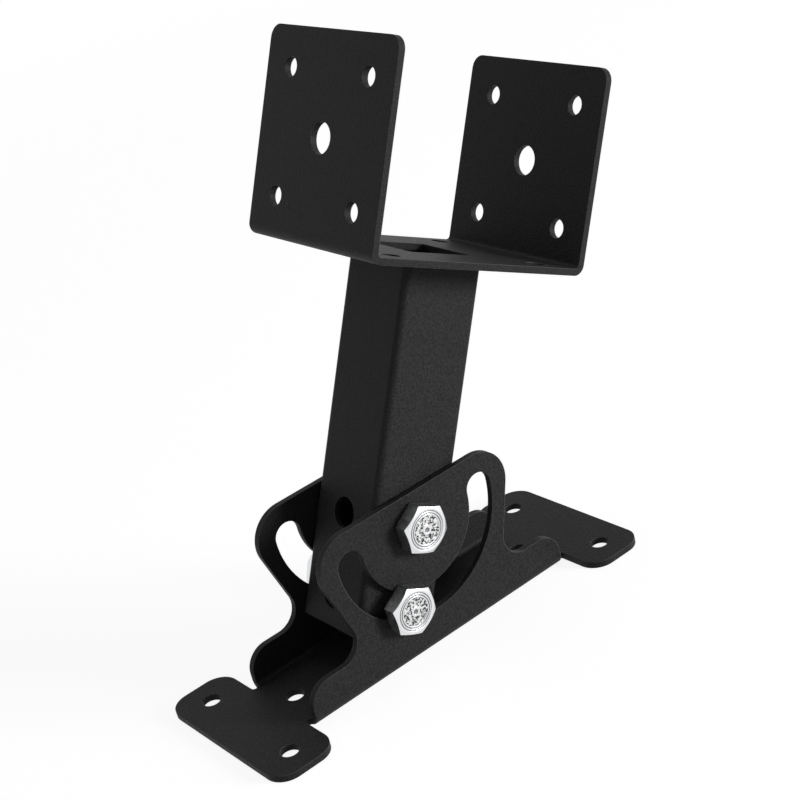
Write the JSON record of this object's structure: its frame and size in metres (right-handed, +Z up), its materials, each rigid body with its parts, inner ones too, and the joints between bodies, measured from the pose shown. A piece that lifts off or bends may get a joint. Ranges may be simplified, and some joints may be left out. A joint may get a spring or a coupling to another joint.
{
  "type": "adjustable roof riser bracket",
  "caption": "Tilting riser bracket: a U saddle on a square post that swings between the slotted walls of a folded base channel and is clamped there by through-bolts.",
  "frame": {"origin": "centre of the base's underside, on the surface it is bolted to", "axes": "+X along the base towards the side the post leans to, +Y across the base from the bolt heads to the nuts, +Z up from the mounting surface"},
  "size_m": [0.2037, 0.073, 0.221],
  "materials": {
    "black_coat": "fine-textured black powder coat over steel",
    "zinc": "bright zinc plating"
  },
  "bodies": {
    "base": {"base_channel": "black_coat", "pivot_bolt": "zinc", "pivot_nut": "zinc"},
    "post": {"post_tube": "black_coat", "saddle_bracket": "black_coat", "saddle_weld": "black_coat", "slot_bolt": "zinc", "slot_nut": "zinc"}
  },
  "joints": [
    {"name": "post_tilt", "type": "hinge", "parent": "base", "child": "post", "pos_m": [0, 0, 0.0505], "axis": [0, 1, 0], "range_deg": [-116, 64]}
  ]
}
